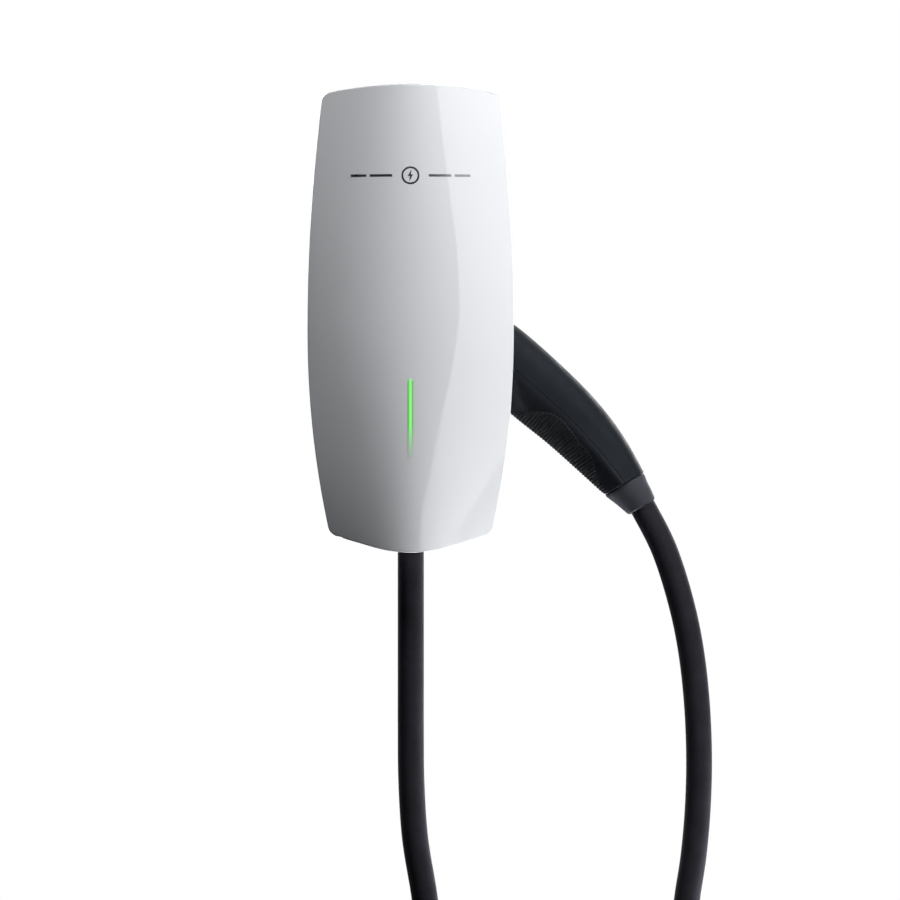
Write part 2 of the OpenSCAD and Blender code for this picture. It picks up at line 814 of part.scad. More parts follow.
coil_half_r = coil_layers * cable_d / 2;
coil_half_y = coil_rows * cable_d / 2;
module cable_coil() {
    color("#252428") translate(COIL_CENTRE) rotate([90, 0, 0]) rotate_extrude()
        translate([coil_r, 0]) round_section(coil_half_r, coil_half_y, 9);
}
module round_section(half_x, half_y, r) {
    translate([0, -half_y]) round_rect(2 * half_x, 0, 2 * half_y, r);
}

// Three hook-and-loop straps wrapped round the coil
module cable_ties() {
    strap_t = 1.8;
    strap_gap = 0.1;
    strap_angle = 15;
    color("black") for (a = [90, 210, 330]) translate(COIL_CENTRE) rotate([90, 0, 0])
        rotate([0, 0, a - strap_angle / 2]) rotate_extrude(angle = strap_angle)
        translate([coil_r, 0]) difference() {
            round_section(coil_half_r + strap_t, coil_half_y + strap_t, 10);
            round_section(coil_half_r + strap_gap, coil_half_y + strap_gap, 9);
        }
}

wall_base();
base_gasket();
entry_grommet();
conduit_plug();
terminal_block();
terminal_screws();
ground_bar();
main_housing();
housing_seal();
front_cover();
cover_screws();
housing_screws();
stab_contacts();
power_board();
contactor_relays();
current_sensor();
power_supply();
control_board();
board_chips();
board_standoffs();
led_board();
light_pipe();
dock_socket();
dock_seal();
gland_body();
gland_nut();
strain_relief();
cord_grip();
cable_tail();
output_leads();
faceplate();
plate_carrier();
plate_clips();
status_lens();
handle_upper_shell();
handle_lower_shell();
soft_grip();
nose_shell();
contact_carrier();
power_contacts();
signal_contacts();
release_button();
button_spring();
switch_board();
shell_screws();
handle_clamp();
handle_cable_end();
handle_leads();
cable_boot();
charge_cable_left();
charge_cable_right();
cable_coil();
cable_ties();
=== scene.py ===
"""Looks of a wall-mounted EV charging unit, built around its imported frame.

Sizes are in metres in the frame's own axes: X to the right, Z up, the wall at y = 0, the front towards -Y.
"""

import logging
import math
from dataclasses import dataclass
from enum import Enum
from typing import Callable, Sequence

import bmesh
import bpy
from bmesh.types import BMesh
from bpy.types import Material, Node, NodeSocket, Object
from mathutils import Matrix, Vector


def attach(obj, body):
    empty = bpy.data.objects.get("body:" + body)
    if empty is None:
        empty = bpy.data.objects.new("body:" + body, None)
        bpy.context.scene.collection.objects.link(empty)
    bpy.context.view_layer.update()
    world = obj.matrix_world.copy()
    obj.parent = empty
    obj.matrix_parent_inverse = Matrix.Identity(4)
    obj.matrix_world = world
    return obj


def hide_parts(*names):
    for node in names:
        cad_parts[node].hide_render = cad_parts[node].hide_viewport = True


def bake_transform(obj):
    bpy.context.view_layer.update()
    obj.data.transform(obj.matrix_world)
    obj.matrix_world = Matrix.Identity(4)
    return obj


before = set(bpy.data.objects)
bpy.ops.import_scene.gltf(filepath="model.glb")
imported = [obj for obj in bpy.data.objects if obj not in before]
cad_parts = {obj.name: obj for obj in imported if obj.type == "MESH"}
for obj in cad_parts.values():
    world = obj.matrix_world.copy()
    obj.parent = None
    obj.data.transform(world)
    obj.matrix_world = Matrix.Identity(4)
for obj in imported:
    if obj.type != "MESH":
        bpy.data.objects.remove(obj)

LOG = logging.getLogger("charging_unit")
MM = 0.001
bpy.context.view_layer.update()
COIL_CENTRE = (0.105, -0.057, -0.590)
COIL_RADIUS = 0.0975
LAMP_TOP = -0.0447
LAMP_LENGTH = 0.0585
LAMP_HALF_WIDTH = 0.0019
SENSOR_WIDTH = 36
WHITE = (1, 1, 1, 1)
Colour = tuple[float, float, float]


class Body(Enum):
    """Bodies of the frame that the new pieces ride on."""

    UNIT = "unit"
    PLATE = "faceplate_body"
    CONNECTOR = "connector"


class Axis(Enum):
    """Direction in which a pattern runs, as a column of the object coordinates."""

    X = 0
    Z = 2


# ---------------------------------------------------------------- small mathematics


def clamp(value: float, low: float, high: float) -> float:
    """Value held between low and high."""
    return min(max(value, low), high)


def smooth_step(value: float) -> float:
    """Soft ramp from 0 to 1 as value goes from 0 to 1."""
    u = clamp(value, 0.0, 1.0)
    return u * u * (3 - 2 * u)


def bump_at(value: float, centre: float, width: float) -> float:
    """Soft hill of height 1 around a centre, with a given half width."""
    return math.exp(-(((value - centre) / width) ** 2))


def along(stations: Sequence[Sequence[float]], place: float) -> list[float]:
    """Value on a smooth curve through a list of stations.

    Args:
        stations: Rows of numbers that the curve passes through.
        place: Place on the curve, from 0 to the number of stations less one.

    Returns:
        The interpolated row.
    """
    last = len(stations) - 1
    i = int(clamp(math.floor(place), 0, last - 1))
    u = place - i
    before, here = stations[max(i - 1, 0)], stations[i]
    after, beyond = stations[i + 1], stations[min(i + 2, last)]
    return [
        0.5 * (2 * b + (c - a) * u + (2 * a - 5 * b + 4 * c - d) * u**2 + (3 * b - a - 3 * c + d) * u**3)
        for a, b, c, d in zip(before, here, after, beyond)
    ]


def level(values: Sequence[float], place: float) -> float:
    """Single value on a smooth curve through a list of values."""
    return along([[value] for value in values], place)[0]


def spaced(points: Sequence[Vector], step: float) -> list[Vector]:
    """Points put back on a line at an even spacing.

    Args:
        points: Corners of the line.
        step: Wanted distance between neighbours.

    Returns:
        Evenly spaced points, both ends included.
    """
    lengths = [(b - a).length for a, b in zip(points, points[1:])]
    total = sum(lengths)
    count = max(2, round(total / step))
    found, i, passed = [], 0, 0.0
    for k in range(count + 1):
        target = total * k / count
        while i < len(lengths) - 1 and passed + lengths[i] < target:
            passed += lengths[i]
            i += 1
        found.append(points[i].lerp(points[i + 1], clamp((target - passed) / lengths[i], 0, 1)))
    return found


# ---------------------------------------------------------------- making pieces


def bent_grid(columns: int, rows: int, place: Callable[[float, float], Vector]) -> BMesh:
    """Grid carried onto a curved surface.

    Args:
        columns: Number of columns.
        rows: Number of rows.
        place: Gives the point for shares (u, v) from 0 to 1.

    Returns:
        The mesh, with coincident points merged.
    """
    bm = bmesh.new()
    bmesh.ops.create_grid(bm, x_segments=columns, y_segments=rows, size=0.5)
    for vert in bm.verts:
        vert.co = place(vert.co.x + 0.5, vert.co.y + 0.5)
    bmesh.ops.remove_doubles(bm, verts=bm.verts, dist=1e-6)
    return bm


def close_holes(bm: BMesh) -> None:
    """Closes every open loop of a mesh with a face."""
    rim = [edge for edge in bm.edges if edge.is_boundary]
    if rim:
        bmesh.ops.holes_fill(bm, edges=rim, sides=0)


def swept_tube(path: Sequence[Vector], radius: float, sides: int) -> BMesh:
    """Round tube along a path, without twist and closed at both ends.

    Args:
        path: Points of the centreline.
        radius: Radius of the tube.
        sides: Number of sides.

    Returns:
        The tube.
    """
    frames: list[tuple[Vector, Vector, Vector]] = []
    side = Vector((0, 1, 0))
    for k, point in enumerate(path):
        ahead = (path[min(k + 1, len(path) - 1)] - path[max(k - 1, 0)]).normalized()
        side = (side - ahead * side.dot(ahead)).normalized()
        frames.append((point, side.copy(), ahead.cross(side)))

    def place(u: float, v: float) -> Vector:
        """Point of the tube's skin."""
        point, first, second = frames[round(v * (len(path) - 1))]
        turn = 2 * math.pi * u
        return point + radius * (first * math.cos(turn) + second * math.sin(turn))

    bm = bent_grid(sides, len(path) - 1, place)
    close_holes(bm)
    bmesh.ops.recalc_face_normals(bm, faces=bm.faces)
    return bm


def face_front(bm: BMesh) -> None:
    """Turns the faces of an open sheet towards the front."""
    bmesh.ops.recalc_face_normals(bm, faces=bm.faces)
    if sum(face.normal.y for face in bm.faces) > 0:
        bmesh.ops.reverse_faces(bm, faces=bm.faces)


def face_away(bm: BMesh, centre: Vector) -> None:
    """Turns the faces of an open shell away from a point inside it."""
    bmesh.ops.recalc_face_normals(bm, faces=bm.faces)
    probe = min(bm.faces, key=lambda f: (f.calc_center_median() - centre).length)
    if probe.normal.dot(probe.calc_center_median() - centre) < 0:
        bmesh.ops.reverse_faces(bm, faces=bm.faces)


def stand_up(bm: BMesh, x: float, z: float) -> None:
    """Turns a flat figure upright, towards the front, and moves it to x and z."""
    bmesh.ops.rotate(bm, matrix=Matrix.Rotation(math.pi / 2, 3, "X"), verts=bm.verts)
    bmesh.ops.translate(bm, vec=(x, 0, z), verts=bm.verts)


def join_into(target: BMesh, extra: BMesh) -> None:
    """Adds one mesh to another and frees it."""
    carrier = bpy.data.meshes.new("carrier")
    extra.to_mesh(carrier)
    extra.free()
    target.from_mesh(carrier)
    bpy.data.meshes.remove(carrier)


def make_piece(name: str, bm: BMesh, finish: Material, crease: float = 35.0) -> Object:
    """Turns a mesh into a shown object with smooth shading.

    Args:
        name: Name of the piece.
        bm: Its mesh, which is freed.
        finish: Its material.
        crease: Edges sharper than this angle in degrees stay crisp.

    Returns:
        The new object.
    """
    mesh = bpy.data.meshes.new(name)
    bm.to_mesh(mesh)
    bm.free()
    mesh.materials.append(finish)
    mesh.shade_smooth()
    mesh.set_sharp_from_angle(angle=math.radians(crease))
    piece = bpy.data.objects.new(name, mesh)
    bpy.context.scene.collection.objects.link(piece)
    LOG.info("made %s with %d faces", name, len(mesh.polygons))
    return piece


def settle(piece: Object, body: Body, slot: str, *nodes: str) -> Object:
    """Puts a piece on its body and hides the CAD nodes that it replaces.

    Args:
        piece: The finished piece.
        body: Body that it moves with.
        slot: Material slot of the record; not used.
        nodes: CAD nodes that it replaces.

    Returns:
        The same piece.
    """
    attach(piece, body.value)
    if nodes:
        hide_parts(*nodes)
    return piece


# ---------------------------------------------------------------- finishes


class Board:
    """Node layout of one material, with a Principled shader at its end."""

    def __init__(self, name: str) -> None:
        """Starts an empty material of that name."""
        self.material = bpy.data.materials.new(name)
        self.material.use_nodes = True
        self.tree = self.material.node_tree
        self.tree.nodes.clear()
        self.out = self.node("ShaderNodeOutputMaterial")
        self.shader = self.node("ShaderNodeBsdfPrincipled")
        self.tree.links.new(self.shader.outputs[0], self.out.inputs["Surface"])
        self.place = self.node("ShaderNodeTexCoord").outputs["Object"]

    def node(self, kind: str, **settings: object) -> Node:
        """Adds a node and sets its properties."""
        made = self.tree.nodes.new(kind)
        for key, value in settings.items():
            setattr(made, key, value)
        return made

    def link(self, source: NodeSocket, target: NodeSocket) -> None:
        """Joins two sockets."""
        self.tree.links.new(source, target)

    def base(self, colour: Colour, roughness: float, metallic: float = 0.0, specular: float = 0.5) -> None:
        """Sets the shader's plain values."""
        self.shader.inputs["Base Color"].default_value = (*colour, 1)
        self.shader.inputs["Roughness"].default_value = roughness
        self.shader.inputs["Metallic"].default_value = metallic
        self.shader.inputs["Specular IOR Level"].default_value = specular

    def coat(self, weight: float, roughness: float, ior: float = 1.5) -> None:
        """Sets a clear coat."""
        self.shader.inputs["Coat Weight"].default_value = weight
        self.shader.inputs["Coat Roughness"].default_value = roughness
        self.shader.inputs["Coat IOR"].default_value = ior

    def moved(self, scale: Sequence[float], turn: Sequence[float] = (0, 0, 0)) -> NodeSocket:
        """Object coordinates scaled and turned (degrees)."""
        mapping = self.node("ShaderNodeMapping")
        mapping.inputs["Scale"].default_value = scale
        mapping.inputs["Rotation"].default_value = [math.radians(a) for a in turn]
        self.link(self.place, mapping.inputs["Vector"])
        return mapping.outputs[0]

    def noise(self, scale: float, detail: float = 3.0, place: NodeSocket | None = None) -> NodeSocket:
        """Noise over object coordinates."""
        made = self.node("ShaderNodeTexNoise")
        made.inputs["Scale"].default_value = scale
        made.inputs["Detail"].default_value = detail
        self.link(place or self.place, made.inputs["Vector"])
        return made.outputs["Fac"]

    def wave(self, scale: float, place: NodeSocket | None = None, direction: str = "X") -> NodeSocket:
        """Parallel waves over object coordinates."""
        made = self.node("ShaderNodeTexWave", bands_direction=direction)
        made.inputs["Scale"].default_value = scale
        self.link(place or self.place, made.inputs["Vector"])
        return made.outputs["Fac"]

    def ramp(self, factor: NodeSocket, low: float, high: float, start: float = 0.0,
             end: float = 1.0) -> NodeSocket:
        """Maps a factor from low..high to start..end."""
        made = self.node("ShaderNodeMapRange")
        for key, value in (("From Min", low), ("From Max", high), ("To Min", start), ("To Max", end)):
            made.inputs[key].default_value = value
        self.link(factor, made.inputs["Value"])
        return made.outputs[0]

    def mixed(self, factor: NodeSocket, first: Colour, second: Colour) -> NodeSocket:
        """Colour between two by a factor."""
        made = self.node("ShaderNodeMix", data_type="RGBA")
        low, high = (socket for socket in made.inputs if socket.type == "RGBA")
        low.default_value, high.default_value = (*first, 1), (*second, 1)
        self.link(factor, made.inputs["Factor"])
        return next(socket for socket in made.outputs if socket.type == "RGBA")

    def maths(self, operation: str, first: NodeSocket, second: NodeSocket | float) -> NodeSocket:
        """One arithmetic step."""
        made = self.node("ShaderNodeMath", operation=operation)
        self.link(first, made.inputs[0])
        if isinstance(second, NodeSocket):
            self.link(second, made.inputs[1])
        else:
            made.inputs[1].default_value = second
        return made.outputs[0]

    def axis(self, axis: Axis) -> NodeSocket:
        """One of the object coordinates."""
        made = self.node("ShaderNodeSeparateXYZ")
        self.link(self.place, made.inputs[0])
        return made.outputs[axis.value]

    def paint(self, colour: NodeSocket) -> None:
        """Feeds the base colour."""
        self.link(colour, self.shader.inputs["Base Color"])

    def roughen(self, value: NodeSocket) -> None:
        """Feeds the roughness."""
        self.link(value, self.shader.inputs["Roughness"])

    def bump(self, height: NodeSocket, distance: float, strength: float = 1.0) -> None:
        """Feeds a bump of a given height, in metres."""
        made = self.node("ShaderNodeBump")
        made.inputs["Distance"].default_value = distance
        made.inputs["Strength"].default_value = strength
        self.link(height, made.inputs["Height"])
        self.link(made.outputs[0], self.shader.inputs["Normal"])


def shade(colour: Colour, factor: float) -> Colour:
    """Colour made lighter or darker."""
    return tuple(min(1.0, channel * factor) for channel in colour)


@dataclass(frozen=True)
class GlassFinish:
    """White back-painted glass: an even base under a hard clear coat."""

    name: str
    colour: Colour

    def build(self) -> Material:
        """Makes the material."""
        board = Board(self.name)
        board.base(self.colour, 0.55, specular=0.1)
        board.paint(board.mixed(board.noise(14, 2), shade(self.colour, 0.985), shade(self.colour, 1.015)))
        board.coat(1.0, 0.025, 1.52)
        return board.material


@dataclass(frozen=True)
class PlasticFinish:
    """Moulded plastic with a fine grain, faint blotches and scuffs."""

    name: str
    colour: Colour
    roughness: float
    grain: float = 1400.0
    depth: float = 0.00004
    specular: float = 0.4
    dust: float = 0.0

    def build(self) -> Material:
        """Makes the material."""
        board = Board(self.name)
        board.base(self.colour, self.roughness, specular=self.specular)
        blotch = board.noise(38, 4)
        board.paint(board.mixed(board.ramp(blotch, 0.3, 0.7), shade(self.colour, 0.9),
                                shade(self.colour, 1.1 + self.dust)))
        scuff = board.noise(160, 5, board.moved((1, 1, 0.35), (0, 35, 0)))
        board.roughen(board.ramp(scuff, 0.35, 0.75, self.roughness * 0.86, min(1.0, self.roughness * 1.18)))
        board.bump(board.noise(self.grain, 2), self.depth)
        return board.material


@dataclass(frozen=True)
class MetalFinish:
    """Machined or plated metal with fine turning marks."""

    name: str
    colour: Colour
    roughness: float

    def build(self) -> Material:
        """Makes the material."""
        board = Board(self.name)
        board.base(self.colour, self.roughness, metallic=1.0)
        stain = board.noise(120, 4)
        board.paint(board.mixed(stain, shade(self.colour, 0.85), shade(self.colour, 1.05)))
        board.roughen(board.ramp(stain, 0.2, 0.8, self.roughness * 0.8, self.roughness * 1.3))
        board.bump(board.noise(900, 2, board.moved((1, 12, 1))), 0.00002)
        return board.material


@dataclass(frozen=True)
class CircuitFinish:
    """Circuit board: solder mask with copper tracks showing through."""

    name: str
    mask: Colour
    track: Colour

    def build(self) -> Material:
        """Makes the material."""
        board = Board(self.name)
        board.base(self.mask, 0.35)
        bricks = board.node("ShaderNodeTexBrick", offset=0.37, squash=1.6)
        bricks.inputs["Scale"].default_value = 95
        bricks.inputs["Mortar Size"].default_value = 0.05
        bricks.inputs["Color1"].default_value = (0, 0, 0, 1)
        bricks.inputs["Color2"].default_value = (0.15, 0.15, 0.15, 1)
        bricks.inputs["Mortar"].default_value = (1, 1, 1, 1)
        board.link(board.moved((1, 1, 1), (90, 0, 0)), bricks.inputs["Vector"])
        board.paint(board.mixed(bricks.outputs["Color"], self.mask, self.track))
        board.bump(bricks.outputs["Color"], 0.00005)
        return board.material


@dataclass(frozen=True)
class LampFinish:
    """Status light: a bright core that fades towards its lower end."""

    name: str
    core: Colour
    edge: Colour
    unlit: Colour
    fade_from: float
    bottom: float
    half_width: float
    strength: float

    def build(self) -> Material:
        """Makes the material."""
        board = Board(self.name)
        board.base(self.unlit, 0.4, specular=0.1)
        board.coat(1.0, 0.03)
        across = board.maths("ABSOLUTE", board.axis(Axis.X), 0.0)
        middle = board.ramp(across, self.half_width * 0.12, self.half_width * 0.75, 1.0, 0.0)
        lit = board.ramp(board.axis(Axis.Z), self.bottom, self.fade_from)
        glow = board.maths("POWER", lit, 1.6)
        board.link(board.mixed(middle, self.edge, self.core), board.shader.inputs["Emission Color"])
        side = board.ramp(across, self.half_width * 0.72, self.half_width, 1.0, 0.12)
        board.link(board.maths("MULTIPLY", board.maths("MULTIPLY", glow, side), self.strength),
                   board.shader.inputs["Emission Strength"])
        board.paint(board.mixed(glow, self.unlit, (0.0, 0.02, 0.0)))
        return board.material


@dataclass(frozen=True)
class CableFinish:
    """Rubbery cable jacket with a fine grain and a little dust."""

    name: str
    colour: Colour

    def build(self) -> Material:
        """Makes the material."""
        board = Board(self.name)
        board.base(self.colour, 0.7, specular=0.18)
        dust = board.noise(60, 5)
        board.paint(board.mixed(board.ramp(dust, 0.4, 0.75), self.colour, shade(self.colour, 1.35)))
        board.roughen(board.ramp(board.noise(420, 3), 0.3, 0.7, 0.62, 0.8))
        board.bump(board.noise(1100, 3), 0.00006)
        return board.material


@dataclass(frozen=True)
class StrapFinish:
    """Woven hook-and-loop strap."""

    name: str
    colour: Colour

    def build(self) -> Material:
        """Makes the material."""
        board = Board(self.name)
        board.base(self.colour, 0.85, specular=0.12)
        board.shader.inputs["Sheen Weight"].default_value = 0.06
        board.shader.inputs["Sheen Roughness"].default_value = 0.5
        weave = board.maths("MULTIPLY", board.wave(700), board.wave(700, direction="Z"))
        board.paint(board.mixed(weave, shade(self.colour, 0.6), shade(self.colour, 1.4)))
        board.bump(board.maths("ADD", weave, board.noise(1600, 3)), 0.00015)
        return board.material


class Finishes:
    """All finishes of the unit, made once and looked up by the record's slot names."""

    PLANS = (
        GlassFinish("glass_white", (0.80, 0.815, 0.84)),
        PlasticFinish("carrier_grey", (0.33, 0.34, 0.35), 0.5),
        PlasticFinish("case_grey", (0.045, 0.047, 0.052), 0.48, dust=0.15),
        PlasticFinish("cover_grey", (0.07, 0.072, 0.078), 0.5, dust=0.1),
        PlasticFinish("seal_black", (0.018, 0.018, 0.019), 0.65, grain=600, depth=0.00008),
        PlasticFinish("block_ivory", (0.66, 0.6, 0.46), 0.5),
        MetalFinish("screw_steel", (0.62, 0.62, 0.61), 0.28),
        MetalFinish("brass", (0.72, 0.52, 0.24), 0.3),
        MetalFinish("contact_silver", (0.83, 0.82, 0.79), 0.2),
        CircuitFinish("board_green", (0.012, 0.11, 0.04), (0.1, 0.32, 0.1)),
        PlasticFinish("relay_black", (0.025, 0.025, 0.027), 0.35),
        PlasticFinish("coil_blue", (0.03, 0.06, 0.2), 0.35, grain=300, depth=0.0002),
        PlasticFinish("supply_yellow", (0.62, 0.42, 0.05), 0.4, grain=200, depth=0.0002),
        PlasticFinish("lead_insulation", (0.12, 0.02, 0.018), 0.4),
        PlasticFinish("light_guide", (0.75, 0.78, 0.76), 0.25, specular=0.5),
        LampFinish("status_green", (0.30, 1.0, 0.26), (0.16, 0.74, 0.13), (0.70, 0.80, 0.73),
                   fade_from=-0.079, bottom=-0.1035, half_width=LAMP_HALF_WIDTH, strength=1.0),
        PlasticFinish("handle_gloss", (0.0142, 0.0168, 0.0220), 0.55, 900, 0.000015, 0.16),
        PlasticFinish("handle_satin", (0.0135, 0.0155, 0.0205), 0.38, 1200, 0.00003, 0.3),
        PlasticFinish("grip_soft", (0.017, 0.018, 0.020), 0.5, 1500, 0.00006, 0.35),
        PlasticFinish("nose_black", (0.02, 0.021, 0.023), 0.4),
        PlasticFinish("insulator_grey", (0.25, 0.25, 0.25), 0.5),
        PlasticFinish("boot_grey", (0.053, 0.055, 0.066), 0.7, 1500, 0.00005, 0.15),
        CableFinish("cable_jacket", (0.0180, 0.0172, 0.0225)),
        StrapFinish("strap_black", (0.02, 0.02, 0.022)),
    )
    MARK = MetalFinish("mark_foil", (0.29, 0.30, 0.32), 0.3)

    def __init__(self) -> None:
        """Builds every material."""
        self.made = {plan.name: plan.build() for plan in self.PLANS}
        self.mark = self.MARK.build()

    def __getitem__(self, slot: str) -> Material:
        """Material of a slot."""
        return self.made[slot]


# ---------------------------------------------------------------- cable


@dataclass
class ChargingCable:
    """The tethered cable: down from the gland, round the tied coil, and up into the handle."""

    diameter: float = 0.019
    length: float = 5.5
    skin: float = 1.02
    sides: int = 20
    ring_step: float = 0.0062
    mean_radius: float = COIL_RADIUS
    coil_centre: tuple[float, float, float] = COIL_CENTRE
    first_angle: float = 180.0
    angle_step: float = 4.0
    coil_points: int = 676
    points_between: int = 8
    zone_centre: float = 495.0
    zone_half: float = 24.0
    bulge: float = 0.0062
    exit: tuple[float, float, float] = (0.0, -0.057, -0.171)
    down: tuple[tuple[float, float, float], ...] = (
        (0, -57, -171), (0, -57, -215), (0, -57, -260), (0, -57, -300), (0.4, -57, -342), (3.2, -57, -385),
        (10, -56, -427), (14, -51, -465), (13, -43, -503), (6, -34, -545))
    up: tuple[tuple[float, float, float], ...] = (
        (169.4, -57, -135.0), (171.8, -57, -139.0), (187, -57, -168.6), (198.6, -57, -203.6),
        (206.6, -57, -239), (211.5, -57, -278), (213.6, -57, -320), (212.8, -57, -360),
        (209.5, -57, -398), (204.4, -57, -432), (201.5, -54.5, -470), (203, -51, -508), (208.5, -48.5, -545))

    def cells(self) -> list[tuple[float, float]]:
        """Radius and depth of each turn in the coil's section, in winding order."""
        half, y = self.diameter / 2, self.coil_centre[1]
        outer, inner = self.mean_radius + half, self.mean_radius - half
        rows = [y + self.diameter * k for k in (1.5, 0.5, -0.5, -1.5)]
        return [(outer, rows[0]), (inner, rows[0]), (inner, rows[1]), (inner, rows[2]), (inner, rows[3]),
                (outer, rows[3]), (outer, rows[2]), (outer, rows[1])]

    def coil_point(self, angle: float) -> Vector:
        """Point of the coil at a winding angle in degrees; the cable changes cell once a turn."""
        cells = self.cells()
        step = clamp((angle - self.zone_centre + 180) / 360, 0, len(cells) - 1)
        i = min(int(step), len(cells) - 2)
        centre = self.zone_centre + 360 * i
        share = smooth_step((angle - centre + self.zone_half) / (2 * self.zone_half))
        (r0, y0), (r1, y1) = cells[i], cells[i + 1]
        radius, depth = r0 + (r1 - r0) * share, y0 + (y1 - y0) * share
        if i in (0, 4):
            depth += self.bulge * math.sin(math.pi * share) * (1 if i == 0 else -1)
        turn = math.radians(angle)
        x, _, z = self.coil_centre
        return Vector((x + radius * math.cos(turn), depth, z + radius * math.sin(turn)))

    def free_run(self, stations: Sequence[Sequence[float]]) -> list[Vector]:
        """Smooth line through one free stretch's stations, given in millimetres."""
        count = (len(stations) - 1) * self.points_between
        return [Vector(along(stations, k / self.points_between)) * MM for k in range(count + 1)]

    def path(self) -> list[Vector]:
        """Evenly spaced centreline of the whole cable."""
        turns = [self.coil_point(self.first_angle + self.angle_step * k) for k in range(self.coil_points)]
        down = self.free_run((*self.down, tuple(turns[0] / MM)))
        up = self.free_run((*self.up, tuple(turns[-1] / MM)))
        return spaced(down + turns[1:] + up[::-1][1:], self.ring_step)

    def build(self, finishes: Finishes) -> Object:
        path = self.path()
        real = sum((b - a).length for a, b in zip(path, path[1:]))
        LOG.info("cable length %.3f m", real)
        bm = swept_tube(path, self.diameter * self.skin / 2, self.sides)
        cable = make_piece("charge_cable", bm, finishes["cable_jacket"], 50)
        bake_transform(cable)
        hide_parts("charge_cable_left", "charge_cable_right", "cable_coil")
        return cable

    def declare(self, ties: Sequence[Object]) -> None:
        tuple(self.exit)
        [tuple(p) for p in self.path()]


@dataclass
class CableTies:
    """Three hook-and-loop straps round the coil's section."""

    centre: tuple[float, float, float] = COIL_CENTRE
    mean_radius: float = COIL_RADIUS
    half_across: float = 0.0193
    half_along: float = 0.0383
    corner: float = 0.0095
    thickness: float = 0.0014
    width: float = 0.024
    laps: float = 1.24
    lap_start: float = 0.62
    angles: tuple[float, ...] = (90.0, 210.0, 330.0)

    def outline(self, share: float, out: float) -> tuple[float, float]:
        """Point on the rounded rectangle round the section, offset outwards."""
        w, h, r = self.half_across, self.half_along, self.corner
        runs = [2 * (h - r), math.pi / 2 * r, 2 * (w - r), math.pi / 2 * r] * 2
        place, i = share % 1.0 * sum(runs), 0
        while place > runs[i]:
            place -= runs[i]
            i += 1
        quarter, part = divmod(i, 2)
        along_x, along_y = (w, h) if quarter % 2 == 0 else (h, w)
        if part == 0:
            x, y = along_x + out, -(along_y - r) + place
        else:
            a = place / r
            x = along_x - r + (r + out) * math.cos(a)
            y = along_y - r + (r + out) * math.sin(a)
        for _ in range(quarter):
            x, y = -y, x
        return x, y

    def strap(self, angle: float) -> BMesh:
        """One strap, with its overlapping tongue on the outer side."""
        turn = math.radians(angle)
        outward = Vector((math.cos(turn), 0, math.sin(turn)))
        side = Vector((-math.sin(turn), 0, math.cos(turn)))
        middle = Vector(self.centre) + outward * self.mean_radius

        def place(u: float, v: float) -> Vector:
            """Point of the strap's inner face, with a slight waviness of the woven edge."""
            lap = u * self.laps
            lift = 0.0004 + self.thickness * 1.05 * smooth_step((lap - 0.94) / 0.06)
            x, y = self.outline(lap + self.lap_start, lift)
            across = (v - 0.5) * self.width * (1 - 0.16 * smooth_step((u - 0.97) / 0.03))
            return middle + outward * x + Vector((0, y, 0)) + side * (across + 0.0002 * math.sin(lap * 90))

        bm = bent_grid(150, 6, place)
        bmesh.ops.recalc_face_normals(bm, faces=bm.faces)
        bmesh.ops.solidify(bm, geom=bm.faces[:], thickness=-self.thickness)
        bmesh.ops.recalc_face_normals(bm, faces=bm.faces)
        return bm

    def build(self, finishes: Finishes) -> list[Object]:
        """Makes the three straps."""
        made = []
        for k, angle in enumerate(self.angles):
            piece = make_piece(f"tie_strap_{k + 1}", self.strap(angle), finishes["strap_black"])
            made.append(settle(piece, Body.UNIT, "strap_black", "cable_ties"))
        return made


# ---------------------------------------------------------------- faceplate


